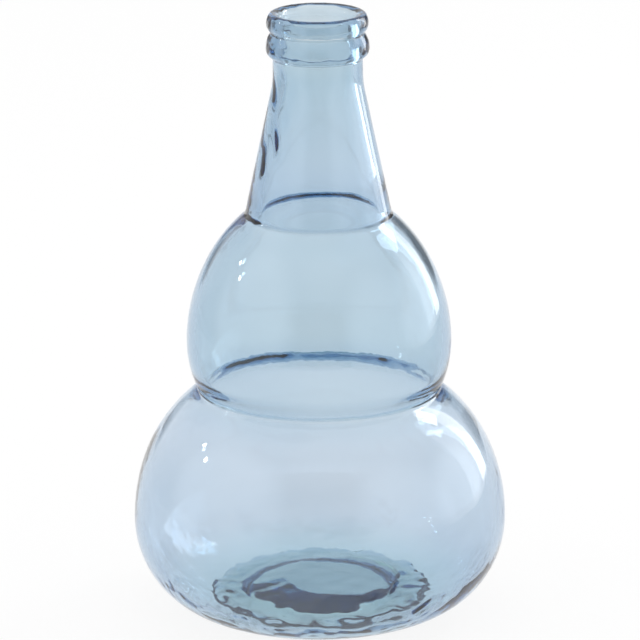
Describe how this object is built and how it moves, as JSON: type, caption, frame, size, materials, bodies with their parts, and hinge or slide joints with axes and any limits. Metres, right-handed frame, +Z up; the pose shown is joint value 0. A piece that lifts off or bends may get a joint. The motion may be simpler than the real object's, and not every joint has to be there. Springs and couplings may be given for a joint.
{
  "type": "glass vase",
  "caption": "Free-standing double gourd vase in pale blue blown glass, with a rounded lip, a collar bead, a conical neck and a thick pushed-up base, for holding stems.",
  "frame": {"origin": "centre of the bearing ring on the table", "axes": "+Z up along the axis of the vase, front of the picture towards -Y"},
  "size_m": [0.1832, 0.1832, 0.3],
  "materials": {
    "blue_glass": "gloss"
  },
  "bodies": {
    "root": {"lip_ring": "blue_glass", "collar_ring": "blue_glass", "neck": "blue_glass", "upper_bulb": "blue_glass", "lower_bulb": "blue_glass", "base": "blue_glass"}
  },
  "joints": []
}
